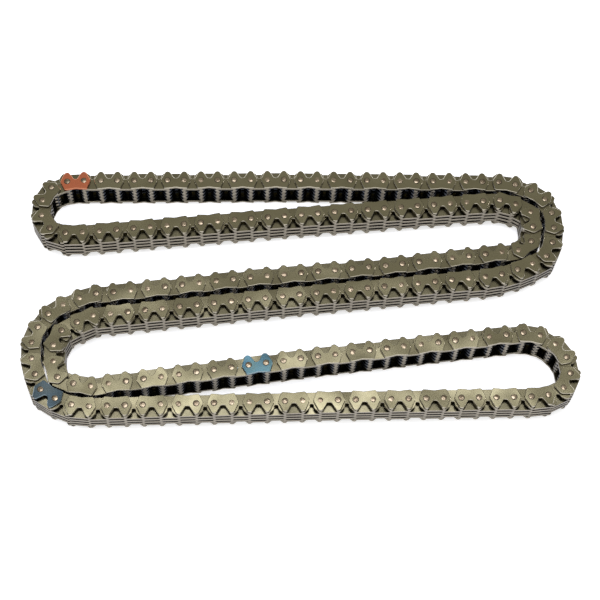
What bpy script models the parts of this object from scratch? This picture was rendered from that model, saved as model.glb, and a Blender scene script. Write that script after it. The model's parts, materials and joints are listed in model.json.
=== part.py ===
"""Inverted-tooth timing chain of 196 pitches, laid on its side in six runs.

Wide links carry two guide plates, four toothed plates and two riveted pins. Narrow links
carry five plates that turn on those pins, the outer two of them turned over. The nine
links of one end loop are built plate by plate and swing on their pins. In the rest of the
chain the plates between the guides are one toothed core, with the guides seated on it.
Lengths are in metres and angles in degrees. +Z is up, through the width of the chain.
"""
import math

import bmesh
import bpy
import numpy as np
from mathutils import Matrix, Vector

# Driving dimensions of a link
PITCH = 0.00635
PLATE_THICKNESS = 0.0010
PLATE_PLAY = 0.00017
LAYERS = 11
PIN_DIAMETER = 0.0023
PIN_CLEARANCE = 0.00015
PIN_SIDES = 6
END_GAP = 0.0011
BACK_HEIGHT = 0.0043
TOE_DEPTH = 0.0033

# Driving dimensions of the guide plate
TIP_HEIGHT = 0.0042
TIP_WIDTH = 0.0016
NOTCH_WIDTH = 0.0014
NOTCH_FLOOR = 0.0010
GUIDE_DEPTH = 0.0032
GUIDE_CORNER = 0.0009
WAIST_RISE = 0.0005

# Driving dimensions of the toothed plate
TOE_WIDTH = 0.0018
BACK_OVERHANG = 0.0007
CROTCH_WIDTH = 0.0012
CROTCH_FLOOR = 0.0002
FLANK_CROWN = 0.0003

# Fits of the fixed chain, and the gaps between the backs of its plates
SECTION_GAP = 0.0003
GUIDE_SEAT = 0.0001
GAP_DEPTH = 0.0013
GAP_END = 0.0010

# The fold, in the order of the loop: links and their heading from +X in each stretch.
# A bend lists one heading for each link, as the photographed chain lies.
FOLD_PLAN = (
    ("run_1", ((1, 8), (12, 5.1), (13, 4))),
    ("bend_1", ((1, -5), (1, -19), (1, -32), (1, -66), (1, -82), (1, -95),
                (1, -111), (1, -146), (1, -151), (1, -158), (1, -165))),
    ("run_2", ((11, -169.5), (12, -169))),
    ("bend_2", ((1, -150), (1, -144), (1, -110), (1, -83), (1, -69), (1, -19),
                (1, -5), (1, 14))),
    ("run_3", ((12, 12.5), (12, 11.5))),
    ("bend_3", ((1, -5), (1, -28), (1, -51), (1, -78), (1, -112), (1, -150),
                (1, -169))),
    ("run_4", ((12, -174.5), (13, -174))),
    ("bend_4", ((1, -181), (1, -198), (1, -208), (1, -244), (1, -250), (1, -263),
                (1, -284), (1, -299), (1, -320), (1, -331), (1, -338), (1, -351))),
    ("run_5", ((8, -348.5), (8, -350), (8, -348))),
    ("bend_5", ((1, -319), (1, -276), (1, -262), (1, -207), (1, -191), (1, -172))),
    ("run_6", ((12, -170.5), (12, -170))),
    ("bend_6", ((1, -174), (1, -194), (1, -234), (1, -266), (1, -295), (1, -331))),
)

# Wide links have even numbers. The moving links begin and end with a narrow one.
FIRST_MOVING = 91
MOVING_LINKS = 9
FIRST_BRANCH = 5
MARKED_LINKS = {0: "orange", 76: "light_blue", 126: "dark_blue"}

# Layers of plates, counted from the bottom of the chain
LOWER_GUIDE = 0
UPPER_GUIDE = LAYERS - 1
WIDE_TOOTHED = range(2, LAYERS - 1, 2)
NARROW_TOOTHED = range(3, LAYERS - 2, 2)
LOWER_TURNED = 1
UPPER_TURNED = LAYERS - 2

# Sizes that follow from the ones above
LAYER_RISE = PLATE_THICKNESS + PLATE_PLAY
CHAIN_WIDTH = LAYERS * PLATE_THICKNESS + (LAYERS - 1) * PLATE_PLAY
END_REACH = (PITCH - END_GAP) / 2
HOLE_RADIUS = (PIN_DIAMETER / 2 + PIN_CLEARANCE) / math.cos(math.pi / PIN_SIDES)
LAST_MOVING = FIRST_MOVING + MOVING_LINKS - 1
START_ANCHOR = FIRST_MOVING - 1
END_ANCHOR = LAST_MOVING + 1

# Base colour and roughness of each steel surface
FINISHES = {
    "oiled_guide_steel": ((0.19, 0.17, 0.12), 0.42),
    "turned_plate_steel": ((0.15, 0.14, 0.11), 0.40),
    "toothed_plate_steel": ((0.23, 0.21, 0.18), 0.36),
    "orange_mark": ((0.36, 0.15, 0.07), 0.40),
    "light_blue_mark": ((0.16, 0.24, 0.32), 0.40),
    "dark_blue_mark": ((0.04, 0.06, 0.10), 0.38),
}


def clear_scene():
    """Remove every object that the file opened with."""
    for thing in list(bpy.data.objects):
        bpy.data.objects.remove(thing, do_unlink=True)


def make_finish(name):
    """One Principled material for a steel surface."""
    colour, roughness = FINISHES[name]
    material = bpy.data.materials.new(name)
    material.use_nodes = True
    shader = material.node_tree.nodes["Principled BSDF"]
    shader.inputs["Base Color"].default_value = (*colour, 1.0)
    shader.inputs["Metallic"].default_value = 1.0
    shader.inputs["Roughness"].default_value = roughness
    return material


def mirrored(half):
    """Close an outline whose left half is given, about the middle of the link."""
    return half + [(PITCH - x, y) for x, y in reversed(half)]


def guide_outline(waisted=True):
    """Two pointed teeth on the outside of the loop, a notch between them and a waist."""
    half = [
        (-GUIDE_CORNER, -GUIDE_DEPTH),
        (-END_REACH, 0.0),
        (-TIP_WIDTH / 2, TIP_HEIGHT),
        (TIP_WIDTH / 2, TIP_HEIGHT),
        (PITCH / 2 - NOTCH_WIDTH / 2, NOTCH_FLOOR),
    ]
    waist = [(PITCH / 2, WAIST_RISE - GUIDE_DEPTH)] if waisted else []
    return mirrored(half) + waist


def toothed_outline(back, depth):
    """A flat back, straight ends, and two toes at the pins with crowned inner flanks."""
    toe = (TOE_WIDTH / 2, -depth)
    crotch = (PITCH / 2 - CROTCH_WIDTH / 2, -CROTCH_FLOOR)
    crown = ((toe[0] + crotch[0]) / 2 + FLANK_CROWN, (toe[1] + crotch[1]) / 2 - FLANK_CROWN)
    half = [
        (-BACK_OVERHANG, back),
        (-END_REACH, 0.0),
        (-TOE_WIDTH / 2, -depth),
        toe,
        crown,
        crotch,
    ]
    return mirrored(half)


def turned_over(outline):
    """The same plate laid the other way up in the loop."""
    return [(x, -y) for x, y in outline]


def ring(centre_x, radius):
    """Corners of a hole or a pin about (centre_x, 0)."""
    step = 2 * math.pi / PIN_SIDES
    return [
        (centre_x + radius * math.cos(step * k), radius * math.sin(step * k))
        for k in range(PIN_SIDES)
    ]


def add_loop(bm, points, height):
    """Closed loop of edges at one height."""
    corners = [bm.verts.new((x, y, height)) for x, y in points]
    return [bm.edges.new((a, b)) for a, b in zip(corners, corners[1:] + corners[:1])]


def add_prism(bm, outline, bottom, top, hole_centres=()):
    """Fill an outline round its holes and extrude it up from bottom to top."""
    edges = add_loop(bm, outline, bottom)
    for centre_x in hole_centres:
        edges += add_loop(bm, ring(centre_x, HOLE_RADIUS), bottom)
    filled = bmesh.ops.triangle_fill(bm, edges=edges, use_beauty=True)
    faces = [item for item in filled["geom"] if isinstance(item, bmesh.types.BMFace)]
    raised = bmesh.ops.extrude_face_region(bm, geom=faces)
    corners = [item for item in raised["geom"] if isinstance(item, bmesh.types.BMVert)]
    bmesh.ops.translate(bm, verts=corners, vec=Vector((0, 0, top - bottom)))


def layer_bottom(layer):
    """Height of the underside of a layer of plates."""
    return layer * LAYER_RISE


def finished_mesh(bm, name):
    """Turn a bmesh into a mesh whose faces all point outwards."""
    bmesh.ops.recalc_face_normals(bm, faces=bm.faces)
    mesh = bpy.data.meshes.new(name)
    bm.to_mesh(mesh)
    bm.free()
    return mesh


def plates_mesh(name, outline, layers, hole_centres=()):
    """Equal plates, one solid for each layer."""
    bm = bmesh.new()
    for layer in layers:
        bottom = layer_bottom(layer)
        add_prism(bm, outline, bottom, bottom + PLATE_THICKNESS, hole_centres)
    return finished_mesh(bm, name)


def pins_mesh(name, centres, bottom=0.0, top=CHAIN_WIDTH):
    """Round pins, by default through the whole width and flush with the guides."""
    bm = bmesh.new()
    for centre_x in centres:
        middle = Vector((centre_x, 0, (bottom + top) / 2))
        bmesh.ops.create_cone(
            bm, cap_ends=True, segments=PIN_SIDES, radius1=PIN_DIAMETER / 2,
            radius2=PIN_DIAMETER / 2, depth=top - bottom, matrix=Matrix.Translation(middle),
        )
    return finished_mesh(bm, name)


def joined_mesh(name, copies):
    """One mesh of separate shapes, each a template mesh set down by its matrix."""
    bm = bmesh.new()
    for template, matrix in copies:
        first_new = len(bm.verts)
        bm.from_mesh(template)
        bm.verts.ensure_lookup_table()
        bmesh.ops.transform(bm, matrix=matrix, verts=bm.verts[first_new:])
    return finished_mesh(bm, name)


def place_object(name, mesh, finish=None, parent=None):
    """Link an object into the scene, in its finish."""
    thing = bpy.data.objects.new(name, mesh)
    if finish:
        mesh.materials.append(finish)
    thing.parent = parent
    bpy.context.scene.collection.objects.link(thing)
    return thing


def fuse(thing, mesh, operation="UNION"):
    """Union a helper mesh into an object that shares its frame, or cut it out.

    Guides overlap each other in a tight bend, so the helper may cross itself.
    """
    helper = place_object(mesh.name, mesh, parent=thing.parent)
    helper.hide_render = True
    helper.display_type = "WIRE"
    boolean = thing.modifiers.new(mesh.name, "BOOLEAN")
    boolean.operation = operation
    boolean.solver = "EXACT"
    boolean.use_self = operation == "UNION"
    boolean.object = helper


def planned_links():
    """Headings of all links in radians, and the sections as name, first and last link."""
    headings, sections = [], []
    for name, stretches in FOLD_PLAN:
        first = len(headings)
        for count, heading in stretches:
            headings += [math.radians(heading)] * count
        sections.append((name, first, len(headings) - 1))
    return np.array(headings), sections


def closed_headings(headings):
    """Turn all headings by the least that brings the last pin back to the first.

    Links of one heading get one correction, so a straight run stays straight.
    """
    headings = headings.copy()
    for _ in range(12):
        gap = np.array([np.cos(headings).sum(), np.sin(headings).sum()])
        slope = np.stack([-np.sin(headings), np.cos(headings)])
        headings -= slope.T @ np.linalg.solve(slope @ slope.T, gap)
    return headings


class Fold:
    """Where every link lies: its pin centre and heading."""

    def __init__(self):
        planned, self.sections = planned_links()
        self.headings = closed_headings(planned)
        self.count = len(self.headings)
        steps = np.stack([np.cos(self.headings), np.sin(self.headings)], axis=1) * PITCH
        self.pins = np.cumsum(steps, axis=0) - steps
        corners = np.array([corner for k in range(self.count) for corner in self.corners(k)])
        self.pins -= (corners.min(axis=0) + corners.max(axis=0)) / 2

    def place(self, link):
        """Matrix of a link's frame: origin at its first pin, X along it, Y outwards."""
        link %= self.count
        turn = Matrix.Rotation(self.headings[link], 4, "Z")
        return Matrix.Translation((*self.pins[link], 0)) @ turn

    def corners(self, link):
        """Corners of a link's largest plate, in the plane of the fold."""
        outline = toothed_outline(BACK_HEIGHT, TOE_DEPTH) if link % 2 else guide_outline()
        return [self.point(link, x, y) for x, y in outline]

    def point(self, link, x, y):
        """A point of a link's frame, in the plane of the fold."""
        return tuple((self.place(link) @ Vector((x, y, 0))).xy)

    def mitre(self, pin):
        """Matrix at a pin whose X halves the turn there, and the cosine of half the turn."""
        before = self.headings[(pin - 1) % self.count]
        after = self.headings[pin % self.count]
        half_turn = math.remainder(after - before, 2 * math.pi) / 2
        turn = Matrix.Rotation(before + half_turn, 4, "Z")
        return Matrix.Translation((*self.pins[pin % self.count], 0)) @ turn, math.cos(half_turn)


def section_limits(first, last):
    """First and last pin of a section, which ends in the middle of narrow links."""
    first_pin = first + first % 2
    last_pin = last + 1 - last % 2
    return first_pin, last_pin


def core_outline(fold, first_pin, last_pin):
    """Toes at the pins and crotches between them on the inside, a plain back outside."""
    inner = []
    outer = []
    crotches = (PITCH / 2 - CROTCH_WIDTH / 2, PITCH / 2 + CROTCH_WIDTH / 2)
    cuts = (PITCH / 2 - SECTION_GAP / 2, PITCH / 2 + SECTION_GAP / 2)
    if first_pin == END_ANCHOR + 1:
        inner.append(fold.point(END_ANCHOR, PITCH - END_REACH, 0))
        outer.append(fold.point(END_ANCHOR, PITCH - BACK_OVERHANG, BACK_HEIGHT))
    else:
        inner.append(fold.point(first_pin - 1, cuts[1], -CROTCH_FLOOR))
        inner.append(fold.point(first_pin - 1, crotches[1], -CROTCH_FLOOR))
        outer.append(fold.point(first_pin - 1, cuts[1], BACK_HEIGHT))
    for pin in range(first_pin, last_pin + 1):
        frame, half_cosine = fold.mitre(pin)
        for side in (-1, 1):
            inner.append(tuple((frame @ Vector((side * TOE_WIDTH / 2, -TOE_DEPTH, 0))).xy))
        if abs(half_cosine) < 1 - 1e-6:
            outer.append(tuple((frame @ Vector((0, BACK_HEIGHT / half_cosine, 0))).xy))
        if pin < last_pin:
            inner += [fold.point(pin, x, -CROTCH_FLOOR) for x in crotches]
    if last_pin == START_ANCHOR:
        inner.append(fold.point(START_ANCHOR, END_REACH, 0))
        outer.append(fold.point(START_ANCHOR, BACK_OVERHANG, BACK_HEIGHT))
    else:
        inner.append(fold.point(last_pin, crotches[0], -CROTCH_FLOOR))
        inner.append(fold.point(last_pin, cuts[0], -CROTCH_FLOOR))
        outer.append(fold.point(last_pin, cuts[0], BACK_HEIGHT))
    return inner + outer[::-1]


def guide_copies(fold, links):
    """Both guides of each wide link, without a marked link's upper one.

    They are sunk into the core, apart from an anchor's, which stand clear on its pins.
    """
    copies = []
    for link in links:
        sunk = 0.0 if link in (START_ANCHOR, END_ANCHOR) else PLATE_PLAY + GUIDE_SEAT
        spans = [(0.0, PLATE_THICKNESS + sunk)]
        if link not in MARKED_LINKS:
            spans.append((CHAIN_WIDTH - PLATE_THICKNESS - sunk, CHAIN_WIDTH))
        for bottom, top in spans:
            bm = bmesh.new()
            add_prism(bm, guide_outline(link in (START_ANCHOR, END_ANCHOR)), bottom, top)
            copies.append((finished_mesh(bm, "guide"), fold.place(link)))
    return copies


def plate_gaps(fold, links):
    """Wedges that part the backs of the plates in each link of a straight run.

    Narrow plates end between the backs of wide ones, and the other way round.
    """
    copies = []
    overshoot = 1.2
    inner_y = BACK_HEIGHT - GAP_DEPTH
    outer_y = inner_y + GAP_DEPTH * overshoot
    half_height = (LAYER_RISE - PLATE_THICKNESS / 2) * overshoot
    for link in links:
        for layer in WIDE_TOOTHED if link % 2 else NARROW_TOOTHED:
            middle = layer_bottom(layer) + PLATE_THICKNESS / 2
            wedge = ((inner_y, middle), (outer_y, middle - half_height),
                     (outer_y, middle + half_height))
            bm = bmesh.new()
            corners = [bm.verts.new((GAP_END, y, z)) for y, z in wedge]
            drawn = bmesh.ops.extrude_face_region(bm, geom=[bm.faces.new(corners)])
            moved = [item for item in drawn["geom"] if isinstance(item, bmesh.types.BMVert)]
            bmesh.ops.translate(bm, verts=moved, vec=Vector((PITCH - 2 * GAP_END, 0, 0)))
            copies.append((finished_mesh(bm, "gap"), fold.place(link)))
    return copies


def build_section(fold, name, first, last, finishes):
    """One fixed stretch of the chain: a toothed core with its guides and end pins."""
    first_pin, last_pin = section_limits(first, last)
    if name == "run_3":
        last_pin = START_ANCHOR
    if name == "run_4":
        first_pin = END_ANCHOR + 1
    bm = bmesh.new()
    outline = core_outline(fold, first_pin, last_pin)
    add_prism(bm, outline, layer_bottom(1), layer_bottom(UPPER_TURNED) + PLATE_THICKNESS)
    core = place_object(name, finished_mesh(bm, name), finishes["toothed_plate_steel"])
    links = [k for k in range(first_pin - 1, last_pin + 1) if k % 2 == 0]
    fuse(core, joined_mesh(f"{name}_guides", guide_copies(fold, links)))
    if name.startswith("run"):
        gaps = plate_gaps(fold, range(first_pin, last_pin))
        fuse(core, joined_mesh(f"{name}_gaps", gaps), "DIFFERENCE")
    pins = []
    for link in links:
        if link in MARKED_LINKS:
            stub = pins_mesh("stubs", (0.0, PITCH), CHAIN_WIDTH / 2)
            pins.append((stub, fold.place(link)))
            build_mark(fold, link, finishes)
        if link in (START_ANCHOR, END_ANCHOR):
            pins.append((pins_mesh("anchor_pins", (0.0, PITCH)), fold.place(link)))
    if pins:
        fuse(core, joined_mesh(f"{name}_pins", pins))


def build_mark(fold, link, finishes):
    """Coloured guide plate that marks a link for timing, on the pins of its core."""
    name = f"{MARKED_LINKS[link]}_mark"
    mesh = plates_mesh(f"{name}_plate", guide_outline(), (UPPER_GUIDE,), (0.0, PITCH))
    place_object(mesh.name, mesh, finishes[name]).matrix_world = fold.place(link)


def build_narrow_link(name, joint, shift, finishes):
    """Five separate plates that turn on the pins of the wide links beside them."""
    toothed = toothed_outline(BACK_HEIGHT, TOE_DEPTH)
    turned = turned_over(toothed_outline(TOE_DEPTH, BACK_HEIGHT))
    plates = [(f"toothed_{number}", toothed, layer, "toothed_plate_steel")
              for number, layer in enumerate(NARROW_TOOTHED, 1)]
    plates.append(("lower_turned", turned, LOWER_TURNED, "turned_plate_steel"))
    plates.append(("upper_turned", turned, UPPER_TURNED, "turned_plate_steel"))
    for piece, outline, layer, finish in plates:
        mesh = plates_mesh(f"{name}_{piece}", outline, (layer,), (0.0, PITCH))
        mesh.transform(shift)
        place_object(mesh.name, mesh, finishes[finish], parent=joint)


def build_wide_link(name, joint, shift, finishes):
    """Two guides, and the toothed plates that are pressed on the link's two pins."""
    for side, layer in (("lower", LOWER_GUIDE), ("upper", UPPER_GUIDE)):
        mesh = plates_mesh(f"{name}_{side}_guide", guide_outline(), (layer,), (0.0, PITCH))
        mesh.transform(shift)
        place_object(mesh.name, mesh, finishes["oiled_guide_steel"], parent=joint)
    plates = plates_mesh(f"{name}_pinned_plates", toothed_outline(BACK_HEIGHT, TOE_DEPTH),
                         WIDE_TOOTHED)
    pins = pins_mesh(f"{name}_pins", (0.0, PITCH))
    for mesh in (plates, pins):
        mesh.transform(shift)
    fuse(place_object(plates.name, plates, finishes["toothed_plate_steel"], parent=joint), pins)


def build_moving_link(fold, number, finishes):
    """A moving link's pieces, hung on an empty at the axis of its joint."""
    link = FIRST_MOVING + number - 1
    name = f"link_{number}"
    joint_x = 0.0 if number <= FIRST_BRANCH else PITCH
    joint = bpy.data.objects.new(f"{name}_joint", None)
    bpy.context.scene.collection.objects.link(joint)
    joint.matrix_world = fold.place(link) @ Matrix.Translation((joint_x, 0, 0))
    build = build_narrow_link if link % 2 else build_wide_link
    build(name, joint, Matrix.Translation((-joint_x, 0, 0)), finishes)


def build_chain():
    """The whole chain in its fold."""
    clear_scene()
    finishes = {name: make_finish(name) for name in FINISHES}
    fold = Fold()
    for name, first, last in fold.sections:
        if not first <= (FIRST_MOVING + LAST_MOVING) // 2 <= last:
            build_section(fold, name, first, last, finishes)
    for number in range(1, MOVING_LINKS + 1):
        build_moving_link(fold, number, finishes)


build_chain()
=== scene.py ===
"""Inverted-tooth timing chain on its side, folded back and forth, dressed for the photograph.

Five blanks make the whole chain: a guide plate, a toothed plate, the toothed plate that is
turned over, and the riveted end and the shank of a pin. Each blank is shaped once and laid
along the chain, link by link, between the same pins as in part.py. Lengths are in metres. A
link's own frame has its first pin at the origin, X along the link and Y towards the outside
of the loop.
"""
import json
import math

import bmesh
import bpy
import numpy as np
from mathutils import Matrix, Vector


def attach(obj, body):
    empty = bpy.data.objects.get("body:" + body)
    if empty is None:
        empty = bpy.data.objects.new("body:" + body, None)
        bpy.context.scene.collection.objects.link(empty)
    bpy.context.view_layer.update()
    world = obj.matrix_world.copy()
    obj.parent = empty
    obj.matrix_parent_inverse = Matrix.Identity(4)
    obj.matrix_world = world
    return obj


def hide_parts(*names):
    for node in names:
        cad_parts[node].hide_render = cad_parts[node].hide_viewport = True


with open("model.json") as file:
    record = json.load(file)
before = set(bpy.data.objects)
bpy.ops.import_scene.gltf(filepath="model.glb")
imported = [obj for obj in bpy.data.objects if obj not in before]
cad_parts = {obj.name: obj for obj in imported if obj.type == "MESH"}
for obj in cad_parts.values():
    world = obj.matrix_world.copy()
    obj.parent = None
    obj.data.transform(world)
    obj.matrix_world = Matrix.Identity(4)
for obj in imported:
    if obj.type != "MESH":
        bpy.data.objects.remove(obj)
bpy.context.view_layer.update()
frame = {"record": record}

# Sizes of a link
PITCH = 0.00635
LAYER_RISE = 0.00117
CHAIN_WIDTH = 0.0127
PLATE_THICKNESS = 0.0010
END_REACH = 0.002625

# Guide plate, and how far its outer face lies under the pin ends
GUIDE_THICKNESS = 0.00086
TIP_HEIGHT = 0.0039
TIP_WIDTH = 0.0015
NOTCH_WIDTH = 0.0013
NOTCH_FLOOR = 0.0009
GUIDE_DEPTH = 0.0036
GUIDE_CORNER = 0.0011
WAIST_RISE = 0.0005
WAIST_END = PITCH * 0.22
GUIDE_INSET = 0.0002
TIP_ROUND = 0.0006
GUIDE_END_ROUND = 0.00045
GUIDE_CORNER_ROUND = 0.0003
NOTCH_ROUND = 0.0003

# Toothed plate
BACK_HEIGHT = 0.0041
BACK_OVERHANG = 0.0005
TOE_DEPTH = 0.0034
TOE_WIDTH = 0.0011
TOE_SHIFT = 0.00015
CROTCH_WIDTH = 0.0012
CROTCH_FLOOR = 0.0002
FLANK_CROWN = 0.0003
BACK_ROUND = 0.0003
TOE_ROUND = 0.0002

# The plate that is turned over: its flat side is inside the loop
FLAT_DEPTH = 0.0034
LOBE_HEIGHT = 0.0041
LOBE_SHOULDER = 0.0026
SLOT_WIDTH = 0.0014
SLOT_FLOOR = 0.0010
SHOULDER_ROUND = 0.0007
SLOT_ROUND = 0.0004
LOBE_ROUND = 0.0004
FLAT_ROUND = 0.0003

# Worn rims, and a pin's end in its groove
EDGE_WEAR = 0.00010
GUIDE_WEAR = 0.00015
PIN_RADIUS = 0.00100
GROOVE_RADIUS = 0.00122
SHANK_RADIUS = 0.00112
RIVET_BODY = 0.0003
RIVET_SUNK = 0.00014
RIVET_RISE = 0.00008
DOME_RISE = 0.00009
DOME_RIM = PIN_RADIUS * 0.45

# How far the play lets a plate tilt. The tilt runs along the chain and up through the layers
# as two waves, each with its step per link and per metre of height, so no plate is random.
TILT = math.radians(0.9)
SIDEWAYS_WAVE = (2.4, 300)
ENDWAYS_WAVE = (1.7, 500)

# The fold: the stretches of each section, as a number of links and their heading in degrees
FOLD_PLAN = (
    ("run_1", ((1, 8), (12, 5.1), (13, 4))),
    ("bend_1", ((1, -5), (1, -19), (1, -32), (1, -66), (1, -82), (1, -95),
                (1, -111), (1, -146), (1, -151), (1, -158), (1, -165))),
    ("run_2", ((11, -169.5), (12, -169))),
    ("bend_2", ((1, -150), (1, -144), (1, -110), (1, -83), (1, -69), (1, -19),
                (1, -5), (1, 14))),
    ("run_3", ((12, 12.5), (12, 11.5))),
    ("bend_3", ((1, -5), (1, -28), (1, -51), (1, -78), (1, -112), (1, -150),
                (1, -169))),
    ("run_4", ((12, -174.5), (13, -174))),
    ("bend_4", ((1, -181), (1, -198), (1, -208), (1, -244), (1, -250), (1, -263),
                (1, -284), (1, -299), (1, -320), (1, -331), (1, -338), (1, -351))),
    ("run_5", ((8, -348.5), (8, -350), (8, -348))),
    ("bend_5", ((1, -319), (1, -276), (1, -262), (1, -207), (1, -191), (1, -172))),
    ("run_6", ((12, -170.5), (12, -170))),
    ("bend_6", ((1, -174), (1, -194), (1, -234), (1, -266), (1, -295), (1, -331))),
)
# The links of the loose end loop, and the links with a lacquered upper guide plate
FIRST_MOVING = 91
MOVING_LINKS = 9
MARKED_LINKS = {0: "orange", 76: "light_blue", 126: "dark_blue"}

# Layers of plates, counted from the bottom of the chain
WIDE_TOOTHED = (2, 4, 6, 8)
NARROW_TOOTHED = (3, 5, 7)
TURNED = (1, 9)


def planned_links():
    """Headings of all links in radians, and the sections as name, first and last link."""
    headings, sections = [], []
    for name, stretches in FOLD_PLAN:
        first = len(headings)
        for count, heading in stretches:
            headings += [math.radians(heading)] * count
        sections.append((name, first, len(headings) - 1))
    return np.array(headings), sections


def closed_headings(headings):
    """The least turn of all links that brings the last pin back to the first."""
    headings = headings.copy()
    for _ in range(12):
        gap = np.array([np.cos(headings).sum(), np.sin(headings).sum()])
        slope = np.stack([-np.sin(headings), np.cos(headings)])
        headings -= slope.T @ np.linalg.solve(slope @ slope.T, gap)
    return headings


PLANNED, SECTIONS = planned_links()
HEADINGS = closed_headings(PLANNED)
STEPS = np.stack([np.cos(HEADINGS), np.sin(HEADINGS)], axis=1) * PITCH
PINS = np.cumsum(STEPS, axis=0) - STEPS
# The loose loop's first pin lies on the joint's axis
PIVOT = next(j for j in frame["record"]["behaviour"]["joints"] if j["name"] == "pivot_1")
PINS += np.array(PIVOT["pos_m"][:2]) - PINS[FIRST_MOVING]


def place(link):
    """Matrix of a link's frame."""
    turn = Matrix.Rotation(HEADINGS[link], 4, "Z")
    return Matrix.Translation((*PINS[link], 0)) @ turn


# Materials

# How far apart a pattern's features lie, in millimetres. Real grain and scoring are finer,
# and would not show in a picture of the whole chain.
OIL_PATCHES = 7.0
GRAIN = 0.5
SCORING = 0.6
DISHING = 11.0
PIN_BLOOM = 2.2
PIN_PITS = 0.9

# Heights of the normal between which a sheared edge turns into a rim, and a rim into a face
EDGE_TO_RIM = (0.2, 0.6)
RIM_TO_FACE = (0.72, 0.99)


def colour(code):
    """Linear colour from an sRGB hex code."""
    parts = [int(code[i:i + 2], 16) / 255 for i in (1, 3, 5)]
    linear = [p / 12.92 if p <= 0.04045 else ((p + 0.055) / 1.055) ** 2.4 for p in parts]
    return (*linear, 1.0)


def new_material(name):
    """An empty material, its Principled shader and its node tree."""
    material = bpy.data.materials.new(name)
    material.use_nodes = True
    return material, material.node_tree.nodes["Principled BSDF"], material.node_tree


def add_node(tree, kind, settings=(), links=()):
    """Add a node. Settings name attributes or inputs, links name inputs and their sources."""
    node = tree.nodes.new(kind)
    for key, value in dict(settings).items():
        if isinstance(key, str) and hasattr(node, key):
            setattr(node, key, value)
        else:
            node.inputs[key].default_value = value
    for key, source in dict(links).items():
        tree.links.new(source, node.inputs[key])
    return node


def per_metre(millimetres):
    """Scale of a pattern whose features are so many millimetres apart."""
    return 1000.0 / millimetres


def pressed_steel(name, face, stain, rim, sheared, roughness, edge_roughness):
    """Plate steel: oiled faces, rims rubbed bright and sheared edges.

    The chain's plates all lie flat, so the height of the surface's normal tells a face, at 1,
    from a rim and from a sheared edge, at 0. It stays so at every pose.
    """
    material, shader, tree = new_material(name)
    place_on = add_node(tree, "ShaderNodeTexCoord")
    on_piece = {"Vector": place_on.outputs["Object"]}
    oil = add_node(tree, "ShaderNodeTexNoise",
                   {"Scale": per_metre(OIL_PATCHES), "Detail": 3.0, "Roughness": 0.6}, on_piece)
    grain = add_node(tree, "ShaderNodeTexNoise",
                     {"Scale": per_metre(GRAIN), "Detail": 2.0, "Roughness": 0.7}, on_piece)
    # Shearing scores an edge across the plate, so the pattern is drawn out along Z
    stretched = add_node(tree, "ShaderNodeMapping", {"Scale": (1.0, 1.0, 0.08)}, on_piece)
    scoring = add_node(tree, "ShaderNodeTexNoise", {"Scale": per_metre(SCORING), "Detail": 2.0},
                       {"Vector": stretched.outputs["Vector"]})
    normal = add_node(tree, "ShaderNodeSeparateXYZ", (),
                      {"Vector": place_on.outputs["Normal"]})
    upright = add_node(tree, "ShaderNodeMath", {"operation": "ABSOLUTE"},
                       {0: normal.outputs["Z"]})
    faceness = add_node(tree, "ShaderNodeMapRange",
                        {"From Min": RIM_TO_FACE[0], "From Max": RIM_TO_FACE[1]},
                        {"Value": upright.outputs[0]})
    oil_reach = add_node(tree, "ShaderNodeMapRange", {"From Min": 0.35, "From Max": 0.68},
                         {"Value": oil.outputs["Fac"]})
    face_tone = add_node(tree, "ShaderNodeMix",
                         {"data_type": "RGBA", 6: colour(face), 7: colour(stain)},
                         {0: oil_reach.outputs[0]})
    edge_reach = add_node(tree, "ShaderNodeMapRange",
                          {"From Min": 0.3, "From Max": 0.7, "To Min": 0.0, "To Max": 0.55},
                          {"Value": scoring.outputs["Fac"]})
    rimness = add_node(tree, "ShaderNodeMapRange",
                       {"From Min": EDGE_TO_RIM[0], "From Max": EDGE_TO_RIM[1]},
                       {"Value": upright.outputs[0]})
    side_tone = add_node(tree, "ShaderNodeMix",
                         {"data_type": "RGBA", 6: colour(sheared), 7: colour(face)},
                         {0: edge_reach.outputs[0]})
    edge_tone = add_node(tree, "ShaderNodeMix", {"data_type": "RGBA", 7: colour(rim)},
                         {0: rimness.outputs[0], 6: side_tone.outputs[2]})
    tone = add_node(tree, "ShaderNodeMix", {"data_type": "RGBA"},
                    {0: faceness.outputs[0], 6: edge_tone.outputs[2], 7: face_tone.outputs[2]})
    tree.links.new(tone.outputs[2], shader.inputs["Base Color"])
    gloss = add_node(tree, "ShaderNodeMapRange",
                     {"To Min": edge_roughness, "To Max": roughness},
                     {"Value": faceness.outputs[0]})
    smear = add_node(tree, "ShaderNodeMapRange", {"To Min": -0.10, "To Max": 0.10},
                     {"Value": oil.outputs["Fac"]})
    rough = add_node(tree, "ShaderNodeMath", {"operation": "ADD"},
                     {0: gloss.outputs[0], 1: smear.outputs[0]})
    tree.links.new(rough.outputs[0], shader.inputs["Roughness"])
    # Pressing leaves no plate quite flat: each one catches the lamp a little differently
    dish = add_node(tree, "ShaderNodeTexNoise", {"Scale": per_metre(DISHING), "Detail": 0.0},
                    on_piece)
    waves = add_node(tree, "ShaderNodeBump", {"Strength": 1.0, "Distance": 0.0003},
                     {"Height": dish.outputs["Fac"]})
    bump = add_node(tree, "ShaderNodeBump", {"Strength": 0.06, "Distance": 0.00003},
                    {"Height": grain.outputs["Fac"], "Normal": waves.outputs["Normal"]})
    tree.links.new(bump.outputs["Normal"], shader.inputs["Normal"])
    shader.inputs["Metallic"].default_value = 1.0
    return material


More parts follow.
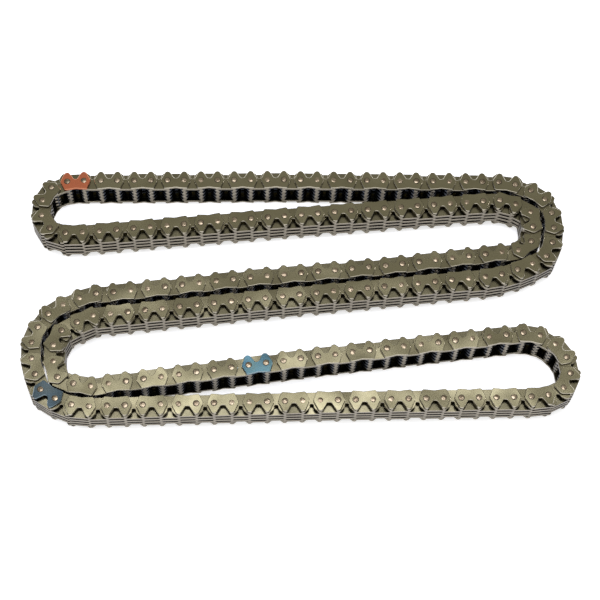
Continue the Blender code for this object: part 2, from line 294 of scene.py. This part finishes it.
def ground_pin(name, bright, dull):
    """Pin ends: hardened steel with a warm bloom from heat treatment, riveted and rubbed."""
    material, shader, tree = new_material(name)
    place_on = add_node(tree, "ShaderNodeTexCoord")
    on_piece = {"Vector": place_on.outputs["Object"]}
    bloom = add_node(tree, "ShaderNodeTexNoise",
                     {"Scale": per_metre(PIN_BLOOM), "Detail": 2.0}, on_piece)
    reach = add_node(tree, "ShaderNodeMapRange", {"From Min": 0.35, "From Max": 0.65},
                     {"Value": bloom.outputs["Fac"]})
    tone = add_node(tree, "ShaderNodeMix",
                    {"data_type": "RGBA", 6: colour(bright), 7: colour(dull)},
                    {0: reach.outputs[0]})
    tree.links.new(tone.outputs[2], shader.inputs["Base Color"])
    pits = add_node(tree, "ShaderNodeTexNoise",
                    {"Scale": per_metre(PIN_PITS), "Detail": 1.0}, on_piece)
    bump = add_node(tree, "ShaderNodeBump", {"Strength": 0.6, "Distance": 0.0002},
                    {"Height": pits.outputs["Fac"]})
    tree.links.new(bump.outputs["Normal"], shader.inputs["Normal"])
    shader.inputs["Metallic"].default_value = 1.0
    shader.inputs["Roughness"].default_value = 0.26
    return material


STEELS = {
    # Spring steel, stamped, tumbled and oiled: an olive film over grey, rims rubbed pale
    "oiled_guide_steel": pressed_steel("stamped_spring_steel_oiled", "#615C46", "#57523D",
                                       "#CEC7B4", "#989080", 0.22, 0.26),
    # The same steel, darker: painted shade on the plates under the guide plates, outlining them
    "turned_plate_steel": pressed_steel("stamped_spring_steel_shaded", "#5D5843", "#524D39",
                                        "#C4BDAB", "#756D5E", 0.22, 0.26),
    # Toothed plates show mostly their sheared edges, scored; painted shade between the toes
    "toothed_plate_steel": pressed_steel("sheared_spring_steel", "#5B5642", "#4F4B39",
                                         "#CCC3B4", "#6A6255", 0.22, 0.30),
    # Copper-orange lacquer on a guide plate, thin and glossy over the metal
    "orange_mark": pressed_steel("copper_orange_lacquer", "#9D5A3E", "#93543A",
                                 "#D9956F", "#A0583C", 0.24, 0.26),
    # Light blue lacquer, thinner, with the steel showing at the rims
    "light_blue_mark": pressed_steel("pale_blue_lacquer", "#36505A", "#3F514D",
                                     "#A9BCC2", "#476672", 0.24, 0.26),
    # Dark steel-blue lacquer
    "dark_blue_mark": pressed_steel("dark_blue_lacquer", "#2C363A", "#323836",
                                    "#8FA0A8", "#33434C", 0.24, 0.26),
}
# Pin ends, hardened and riveted: a coppery bloom with small sharp glints
PIN_STEEL = ground_pin("riveted_pin_steel", "#7A6E5A", "#574C3C")
# The groove round a riveted end: dark brown, a painted shade of the narrow gap round the pin
GROOVE_SHADE = pressed_steel("painted_shade_groove", "#2E2921", "#26231D", "#2E2A22", "#2E2A22",
                           0.40, 0.40)
# Painted shade, near-black and blue, on the toothed plates' flanks, toe faces and crotch
FLANK_SHADE = pressed_steel("painted_shade_flank", "#2E333C", "#1F242B", "#2B303A", "#2E3440",
                          0.30, 0.30)


# Blanks, shaped once each

def clear_selection():
    """Leave nothing selected."""
    if bpy.context.object and bpy.context.object.mode != "OBJECT":
        bpy.ops.object.mode_set(mode="OBJECT")
    bpy.ops.object.select_all(action="DESELECT")


def middle(item):
    """Centre of a vertex, an edge or a face."""
    if isinstance(item, bmesh.types.BMVert):
        return item.co
    return sum((v.co for v in item.verts), Vector()) / len(item.verts)


def select_where(kind, test):
    """In edit mode, select the vertices, edges or faces whose centre passes the test."""
    bpy.ops.mesh.select_mode(type=kind)
    bpy.ops.mesh.select_all(action="DESELECT")
    data = bpy.context.object.data
    mesh = bmesh.from_edit_mesh(data)
    items = {"VERT": mesh.verts, "EDGE": mesh.edges, "FACE": mesh.faces}[kind]
    for item in items:
        if test(middle(item)):
            item.select_set(True)
    mesh.select_flush_mode()
    bmesh.update_edit_mesh(data)


def half_sheet(name, left, right, low, high):
    """A flat rectangle of plate, in edit mode. The middle of the link is at x = 0."""
    clear_selection()
    bpy.ops.mesh.primitive_plane_add(
        size=1.0, location=((left + right) / 2, (low + high) / 2, 0))
    sheet = bpy.context.object
    sheet.name = name
    sheet.scale = (right - left, high - low, 1.0)
    bpy.ops.object.transform_apply(location=True, rotation=False, scale=True)
    bpy.ops.object.mode_set(mode="EDIT")
    return sheet


def cut(start, end, trim=True):
    """Cut straight through the sheet from start to end, and drop what lies left of the cut."""
    bpy.ops.mesh.select_mode(type="VERT")
    bpy.ops.mesh.select_all(action="SELECT")
    along = Vector((end[0] - start[0], end[1] - start[1], 0)).normalized()
    bpy.ops.mesh.bisect(plane_co=(start[0], start[1], 0), plane_no=(-along.y, along.x, 0),
                        clear_outer=trim, threshold=1e-7)


def divide(x):
    """Draw a line across the sheet at x."""
    cut((x, -1), (x, 1), trim=False)


def beyond(level, limit):
    """Test for the edge at a height of Y that lies further out along the link than a limit."""
    return lambda co: abs(co.y - level) < 1e-6 and co.x < limit - 1e-6


def draw_out(test, rise, pin_x, width):
    """Extrude the chosen edge along Y and narrow it to a width about a pin."""
    select_where("EDGE", test)
    bpy.ops.mesh.extrude_region_move(TRANSFORM_OT_translate={"value": (0, rise, 0)})
    mesh = bmesh.from_edit_mesh(bpy.context.object.data)
    spread = [v.co.x for v in mesh.verts if v.select]
    level = [v.co.y for v in mesh.verts if v.select][0]
    factor = width / (max(spread) - min(spread))
    centre = (pin_x, level, 0)
    bpy.ops.transform.resize(value=(factor, 1, 1), center_override=centre)
    drift = (pin_x - (max(spread) + min(spread)) / 2) * factor
    bpy.ops.transform.translate(value=(drift, 0, 0))


def select_corner(corner, reach):
    """In edit mode, select the vertex within reach of a corner."""
    select_where("VERT", lambda co: (co.xy - Vector(corner)).length < reach)


def nudge(corner, shift):
    """Move the vertex at a corner."""
    select_corner(corner, reach=0.00005)
    bpy.ops.transform.translate(value=(*shift, 0))


def round_corner(corner, offset, segments=1):
    """Round the outline off at a corner."""
    select_corner(corner, reach=0.00012)
    bpy.ops.mesh.bevel(offset=offset, segments=segments, affect="VERTICES", clamp_overlap=True)


def finish_plate(sheet, thickness, wear):
    """Mirror the half, give it its thickness upwards and rub its upper rim."""
    bpy.ops.object.mode_set(mode="OBJECT")
    mirror = sheet.modifiers.new("other half", "MIRROR")
    mirror.merge_threshold = 1e-5
    bpy.ops.object.modifier_apply(modifier=mirror.name)
    bpy.ops.object.mode_set(mode="EDIT")
    bpy.ops.mesh.select_all(action="SELECT")
    bpy.ops.mesh.dissolve_limited(angle_limit=math.radians(0.5))
    bpy.ops.mesh.select_mode(type="FACE")
    bpy.ops.mesh.select_all(action="SELECT")
    bpy.ops.mesh.extrude_region_move(
        TRANSFORM_OT_translate={"value": (0, 0, thickness - wear)})
    bpy.ops.mesh.inset(thickness=wear, depth=wear)
    bpy.ops.mesh.select_all(action="SELECT")
    bpy.ops.mesh.normals_make_consistent(inside=False)
    bpy.ops.object.mode_set(mode="OBJECT")
    bpy.ops.object.shade_smooth_by_angle(angle=math.radians(32))
    sheet.data.transform(Matrix.Translation((PITCH / 2, 0, 0)))
    return sheet


# In a half sheet the middle of the link is at x = 0. The plate ends level with the pin.
PIN_X = -PITCH / 2
PLATE_END = (PIN_X - END_REACH, 0.0)


def guide_blank():
    """Two round-tipped teeth outside, a notch between them, a shallow waist inside."""
    notch_x = -NOTCH_WIDTH / 2
    outer_tip = (PIN_X - TIP_WIDTH / 2, TIP_HEIGHT)
    inner_tip = (PIN_X + TIP_WIDTH / 2, TIP_HEIGHT)
    corner = (PIN_X - GUIDE_CORNER, -GUIDE_DEPTH)
    sheet = half_sheet("guide_blank", PLATE_END[0], 0.0, -GUIDE_DEPTH, NOTCH_FLOOR)
    divide(notch_x)
    draw_out(beyond(NOTCH_FLOOR, notch_x), TIP_HEIGHT - NOTCH_FLOOR, PIN_X, TIP_WIDTH)
    cut(PLATE_END, outer_tip)
    cut(corner, PLATE_END)
    divide(-WAIST_END)
    for x, share in ((0, 1.0), (notch_x, 0.9), (-WAIST_END, 0.6)):
        nudge((x, -GUIDE_DEPTH), (0, WAIST_RISE * share))
    round_corner(outer_tip, TIP_ROUND, 2)
    round_corner(inner_tip, TIP_ROUND, 2)
    round_corner(PLATE_END, GUIDE_END_ROUND)
    round_corner(corner, GUIDE_CORNER_ROUND)
    round_corner((notch_x, NOTCH_FLOOR), NOTCH_ROUND)
    return finish_plate(sheet, GUIDE_THICKNESS, GUIDE_WEAR)


def darken_flanks(sheet):
    """Painted shade on flanks, toe faces and crotch between the toes; not on toe tips and
    backs.
    """
    bpy.ops.object.mode_set(mode="EDIT")
    bpy.ops.mesh.select_all(action="SELECT")
    bpy.ops.mesh.bisect(plane_co=(0, -CROTCH_FLOOR / 2, 0), plane_no=(0, 1, 0),
                        threshold=1e-7)
    bpy.ops.object.mode_set(mode="OBJECT")
    for face in sheet.data.polygons:
        x = face.center.x
        beside_toe = min(abs(x - TOE_SHIFT), abs(x + TOE_SHIFT - PITCH)) > TOE_WIDTH / 2
        looks_up_or_down = abs(face.normal.z) > 0.9
        looks_inwards = face.normal.y < -0.1
        if face.center.y < -CROTCH_FLOOR / 2 and (
                looks_up_or_down or beside_toe and looks_inwards):
            face.material_index = 1
    return sheet


def toothed_blank():
    """A flat back, two toes at the pins and a crotch with crowned flanks between them."""
    toe_x = PIN_X + TOE_SHIFT
    crotch_x = -CROTCH_WIDTH / 2
    back_corner = (PIN_X - BACK_OVERHANG, BACK_HEIGHT)
    outer_toe = (toe_x - TOE_WIDTH / 2, -TOE_DEPTH)
    inner_toe = (toe_x + TOE_WIDTH / 2, -TOE_DEPTH)
    sheet = half_sheet("toothed_blank", PLATE_END[0], 0.0, -CROTCH_FLOOR, BACK_HEIGHT)
    divide(crotch_x)
    draw_out(beyond(-CROTCH_FLOOR, crotch_x), CROTCH_FLOOR - TOE_DEPTH, toe_x, TOE_WIDTH)
    cut(PLATE_END, back_corner)
    # The flank is the one edge between the toe and the crotch
    select_where("EDGE", lambda co: co.x > inner_toe[0] and co.y < -CROTCH_FLOOR * 1.5)
    bpy.ops.mesh.subdivide(number_cuts=1)
    crown = ((inner_toe[0] + crotch_x) / 2, (inner_toe[1] - CROTCH_FLOOR) / 2)
    nudge(crown, (FLANK_CROWN, -FLANK_CROWN))
    round_corner(back_corner, BACK_ROUND)
    round_corner(outer_toe, TOE_ROUND)
    round_corner(inner_toe, TOE_ROUND)
    return darken_flanks(finish_plate(sheet, PLATE_THICKNESS, EDGE_WEAR))


def turned_blank():
    """A flat inner side, and outside two lobes with a slot that opens between them."""
    slot_x = -SLOT_WIDTH / 2
    lobe_corner = (PIN_X - BACK_OVERHANG, LOBE_HEIGHT)
    flat_corner = (PIN_X - BACK_OVERHANG, -FLAT_DEPTH)
    shoulder = (slot_x, LOBE_SHOULDER)
    sheet = half_sheet("turned_blank", PLATE_END[0], 0.0, -FLAT_DEPTH, SLOT_FLOOR)
    divide(slot_x)
    select_where("EDGE", beyond(SLOT_FLOOR, slot_x))
    bpy.ops.mesh.extrude_region_move(
        TRANSFORM_OT_translate={"value": (0, LOBE_HEIGHT - SLOT_FLOOR, 0)})
    cut(PLATE_END, lobe_corner)
    cut((PIN_X + TOE_WIDTH / 2, LOBE_HEIGHT), shoulder)
    cut(flat_corner, PLATE_END)
    round_corner(shoulder, SHOULDER_ROUND, 2)
    round_corner((slot_x, SLOT_FLOOR), SLOT_ROUND)
    round_corner(lobe_corner, LOBE_ROUND)
    round_corner(flat_corner, FLAT_ROUND)
    return finish_plate(sheet, PLATE_THICKNESS, EDGE_WEAR)


def rivet_blank():
    """End of a pin, domed by riveting, in the groove that is left round it.

    It stands on the outer face of a guide plate, which is at z = 0.
    """
    clear_selection()
    bpy.ops.mesh.primitive_cylinder_add(vertices=12, radius=GROOVE_RADIUS, depth=RIVET_BODY,
                                        location=(0, 0, -RIVET_SUNK))
    rivet = bpy.context.object
    rivet.name = "rivet_blank"
    bpy.ops.object.transform_apply(location=True, rotation=False, scale=False)
    rivet.data.materials.append(PIN_STEEL)
    rivet.data.materials.append(GROOVE_SHADE)
    bpy.ops.object.mode_set(mode="EDIT")
    top = RIVET_BODY / 2 - RIVET_SUNK
    select_where("FACE", lambda co: co.z > top / 2)
    bpy.ops.mesh.inset(thickness=GROOVE_RADIUS - PIN_RADIUS, depth=0)
    bpy.ops.mesh.extrude_region_move(TRANSFORM_OT_translate={"value": (0, 0, RIVET_RISE)})
    bpy.ops.mesh.inset(thickness=DOME_RIM, depth=DOME_RISE)
    bpy.ops.object.mode_set(mode="OBJECT")
    # The ring round the pin's end takes the groove's painted shade
    for face in rivet.data.polygons:
        if face.center.xy.length > PIN_RADIUS * 0.9:
            face.material_index = 1
    bpy.ops.object.shade_smooth_by_angle(angle=math.radians(40))
    return rivet


def shank_blank():
    """Plain middle of a pin, hidden in the plates."""
    clear_selection()
    bpy.ops.mesh.primitive_cylinder_add(vertices=8, radius=SHANK_RADIUS,
                                        depth=CHAIN_WIDTH - 0.001,
                                        location=(0, 0, CHAIN_WIDTH / 2))
    shank = bpy.context.object
    shank.name = "shank_blank"
    bpy.ops.object.transform_apply(location=True, rotation=False, scale=False)
    bpy.ops.object.mode_set(mode="EDIT")
    select_where("FACE", lambda co: abs(co.z - CHAIN_WIDTH / 2) > 0.001)
    bpy.ops.mesh.bevel(offset=0.0001, segments=1, affect="EDGES")
    bpy.ops.object.mode_set(mode="OBJECT")
    shank.data.materials.append(PIN_STEEL)
    bpy.ops.object.shade_smooth_by_angle(angle=math.radians(50))
    return shank


GUIDE = guide_blank()
TOOTHED = toothed_blank()
TURNED_OVER = turned_blank()
RIVET = rivet_blank()
SHANK = shank_blank()
UPSIDE_DOWN = Matrix.Diagonal((1, 1, -1, 1))


# Laying the blanks along the chain

def lay_down(name, copies, body, steel=None, nodes=()):
    """One piece from copies of the blanks, each with its matrix, riding on a body."""
    clear_selection()
    laid = []
    for blank, matrix in copies:
        mesh = blank.data.copy()
        mesh.transform(matrix)
        if matrix.determinant() < 0:
            mesh.flip_normals()
        if steel:
            mesh.materials.append(STEELS[steel])
            # Second slot: painted shade for the toothed plates' flanks
            mesh.materials.append(FLANK_SHADE)
        copy = bpy.data.objects.new(name, mesh)
        bpy.context.scene.collection.objects.link(copy)
        copy.select_set(True)
        laid.append(copy)
    bpy.context.view_layer.objects.active = laid[0]
    if len(laid) > 1:
        bpy.ops.object.join()
    piece = laid[0]
    piece.name = name
    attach(piece, body)
    if nodes:
        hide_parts(*nodes)
    return piece


def at_height(link, height):
    """A link's frame, raised, with the little tilt that the play between plates allows."""
    def wave(steps):
        return math.sin(steps[0] * link + steps[1] * height)

    to_middle = Matrix.Translation((PITCH / 2, 0, height))
    sideways = Matrix.Rotation(TILT * wave(SIDEWAYS_WAVE), 4, "X")
    endways = Matrix.Rotation(TILT * 0.5 * wave(ENDWAYS_WAVE), 4, "Y")
    from_middle = Matrix.Translation((-PITCH / 2, 0, 0))
    return place(link) @ to_middle @ sideways @ endways @ from_middle


def guides(links, marked=False):
    """Guide plates of some links, their outer faces just inside the pins' ends.

    A marked plate is the upper one of its link, and is a piece of its own.
    """
    reach = GUIDE_THICKNESS + GUIDE_INSET
    copies = []
    for link in links:
        if not marked:
            copies.append((GUIDE, at_height(link, reach) @ UPSIDE_DOWN))
        if marked or link not in MARKED_LINKS:
            copies.append((GUIDE, at_height(link, CHAIN_WIDTH - reach)))
    return copies


def plates(blank, links, layers):
    """Copies of a plate in some layers of some links."""
    return [(blank, at_height(link, layer * LAYER_RISE)) for link in links for layer in layers]


def pins(links):
    """Both pins of wide links, shanks and riveted ends."""
    top = Matrix.Translation((0, 0, CHAIN_WIDTH - GUIDE_INSET))
    bottom = Matrix.Translation((0, 0, GUIDE_INSET)) @ UPSIDE_DOWN
    copies = []
    for link in links:
        for x in (0, PITCH):
            at_pin = place(link) @ Matrix.Translation((x, 0, 0))
            copies += [(SHANK, at_pin), (RIVET, at_pin @ top), (RIVET, at_pin @ bottom)]
    return copies


def dress_section(name, links):
    """All pieces of a fixed stretch of the chain."""
    body = "fixed_chain"
    wide = [k for k in links if k % 2 == 0]
    narrow = [k for k in links if k % 2]
    # The section's node stands for all of its plates and pins
    lay_down(f"{name}_guide_plates", guides(wide), body, "oiled_guide_steel", [name])
    lay_down(f"{name}_toothed_plates",
             plates(TOOTHED, wide, WIDE_TOOTHED) + plates(TOOTHED, narrow, NARROW_TOOTHED),
             body, "toothed_plate_steel", [name])
    lay_down(f"{name}_turned_plates", plates(TURNED_OVER, narrow, TURNED), body,
             "turned_plate_steel", [name])
    lay_down(f"{name}_link_pins", pins(wide), body, nodes=[name])
    for link in wide:
        if link in MARKED_LINKS:
            mark = f"{MARKED_LINKS[link]}_mark"
            lay_down(f"{mark}_guide", guides([link], marked=True), body, mark,
                     [f"{mark}_plate"])


def dress_moving_link(number):
    """The pieces of one link of the loose end loop."""
    link = FIRST_MOVING + number - 1
    body = f"link_{number}"
    if link % 2:
        lay_down(f"{body}_toothed_plates", plates(TOOTHED, [link], NARROW_TOOTHED), body,
                 "toothed_plate_steel", [f"{body}_toothed_{n}" for n in (1, 2, 3)])
        lay_down(f"{body}_turned_plates", plates(TURNED_OVER, [link], TURNED), body,
                 "turned_plate_steel", [f"{body}_lower_turned", f"{body}_upper_turned"])
    else:
        lay_down(f"{body}_guide_plates", guides([link]), body, "oiled_guide_steel",
                 [f"{body}_lower_guide", f"{body}_upper_guide"])
        lay_down(f"{body}_toothed_plates", plates(TOOTHED, [link], WIDE_TOOTHED), body,
                 "toothed_plate_steel", [f"{body}_pinned_plates"])
        lay_down(f"{body}_link_pins", pins([link]), body, nodes=[f"{body}_pinned_plates"])


MOVING = range(FIRST_MOVING, FIRST_MOVING + MOVING_LINKS)
for section, first, last in SECTIONS:
    fixed = [k for k in range(first, last + 1) if k not in MOVING]
    if fixed:
        dress_section(section, fixed)
for number in range(1, MOVING_LINKS + 1):
    dress_moving_link(number)
for blank in (GUIDE, TOOTHED, TURNED_OVER, RIVET, SHANK):
    bpy.data.objects.remove(blank, do_unlink=True)


# Floor, light and camera

# What lights the scene: how brightly the table glows to the camera and the metal, and how
# strong the white room is as light, and in the metal overhead and at the dark sides
TABLE_GLOW = 0.62
ROOM_LIGHT = 0.6
ROOM_IN_METAL = 1.0
SIDES_IN_METAL = 0.06
SIDES_FROM, SIDES_FULL = 0.45, 0.80
COOL_LIGHT = (0.95, 0.98, 1.15)


def white_surround(name, glow):
    """Matt white with a glow that the camera and the metal see, but no matt surface."""
    material, shader, tree = new_material(name)
    shader.inputs["Base Color"].default_value = colour("#F4F4F4")
    shader.inputs["Roughness"].default_value = 0.9
    shader.inputs["Specular IOR Level"].default_value = 0.0
    path = add_node(tree, "ShaderNodeLightPath")
    seen = add_node(tree, "ShaderNodeMath", {"operation": "MAXIMUM"},
                    {0: path.outputs["Is Camera Ray"], 1: path.outputs["Is Glossy Ray"]})
    strength = add_node(tree, "ShaderNodeMath", {"operation": "MULTIPLY", 1: glow},
                        {0: seen.outputs[0]})
    shader.inputs["Emission Color"].default_value = (1, 1, 1, 1)
    tree.links.new(strength.outputs[0], shader.inputs["Emission Strength"])
    return material


def build_floor():
    """A wide white table under the chain."""
    clear_selection()
    bpy.ops.mesh.primitive_plane_add(size=6.0, location=(0, 0, -0.00001))
    floor = bpy.context.object
    floor.name = "white_table"
    bpy.ops.object.transform_apply(location=True, rotation=False, scale=False)
    floor.data.materials.append(white_surround("matt_white_paper", TABLE_GLOW))


def build_world():
    """Even white surround: full white to the camera and overhead to the metal, dimmer as light.

    Left and right of the table the room is dark, which outlines the plates' side rims.
    """
    world = bpy.data.worlds.new("studio")
    bpy.context.scene.world = world
    world.use_nodes = True
    tree = world.node_tree
    background = tree.nodes["Background"]
    direction = add_node(tree, "ShaderNodeTexCoord")
    parts = add_node(tree, "ShaderNodeSeparateXYZ", (),
                     {"Vector": direction.outputs["Generated"]})
    sideways = add_node(tree, "ShaderNodeMath", {"operation": "ABSOLUTE"},
                        {0: parts.outputs["X"]})
    metal_sees = add_node(tree, "ShaderNodeMapRange",
                          {"From Min": SIDES_FROM, "From Max": SIDES_FULL,
                           "To Min": ROOM_IN_METAL, "To Max": SIDES_IN_METAL},
                          {"Value": sideways.outputs[0]})
    path = add_node(tree, "ShaderNodeLightPath")
    seen_by_metal = add_node(tree, "ShaderNodeMix", {"data_type": "FLOAT", 2: ROOM_LIGHT},
                             {0: path.outputs["Is Glossy Ray"], 3: metal_sees.outputs[0]})
    strength = add_node(tree, "ShaderNodeMath", {"operation": "MAXIMUM"},
                        {0: seen_by_metal.outputs[0], 1: path.outputs["Is Camera Ray"]})
    background.inputs["Color"].default_value = (1, 1, 1, 1)
    tree.links.new(strength.outputs[0], background.inputs["Strength"])


def build_lamp(name, position, target, size, power):
    """A soft rectangular lamp of cool light, aimed at a point."""
    lamp = bpy.data.lights.new(name, "AREA")
    lamp.color = COOL_LIGHT
    lamp.shape = "RECTANGLE"
    lamp.size, lamp.size_y = size
    lamp.energy = power
    thing = bpy.data.objects.new(name, lamp)
    bpy.context.scene.collection.objects.link(thing)
    thing.location = position
    aim = Vector(target) - Vector(position)
    thing.rotation_euler = aim.to_track_quat("-Z", "Y").to_euler()


def build_camera():
    """The photograph's view: fitted to all its pins, then moved 2.5 mm to match it best."""
    lens, elevation, roll, distance = 94.04, 1.1320, 0.07225, 0.57770
    target = Vector((-0.000020, -0.004370, CHAIN_WIDTH))
    right = Vector((1, 0, 0))
    up = Vector((0, math.sin(elevation), math.cos(elevation)))
    ahead = Vector((0, math.cos(elevation), -math.sin(elevation)))
    rolled_right = right * math.cos(roll) + up * math.sin(roll)
    rolled_up = up * math.cos(roll) - right * math.sin(roll)
    data = bpy.data.cameras.new("camera")
    data.lens = lens
    data.sensor_width = 36.0
    data.clip_start = 0.01
    camera = bpy.data.objects.new("camera", data)
    bpy.context.scene.collection.objects.link(camera)
    turn = Matrix((rolled_right, rolled_up, -ahead)).transposed().to_4x4()
    camera.matrix_world = Matrix.Translation(target - ahead * distance) @ turn
    bpy.context.scene.camera = camera


bpy.context.scene.view_settings.view_transform = "Standard"
build_floor()
build_world()
build_lamp("overhead_softbox", (0.01, 0.13, 0.90), (0.01, 0.13, 0), (0.46, 0.33), 4.4)
build_lamp("window_softbox", (-0.75, -0.10, 0.80), (0, 0, 0), (0.5, 0.5), 1.6)
build_camera()

clear_selection()
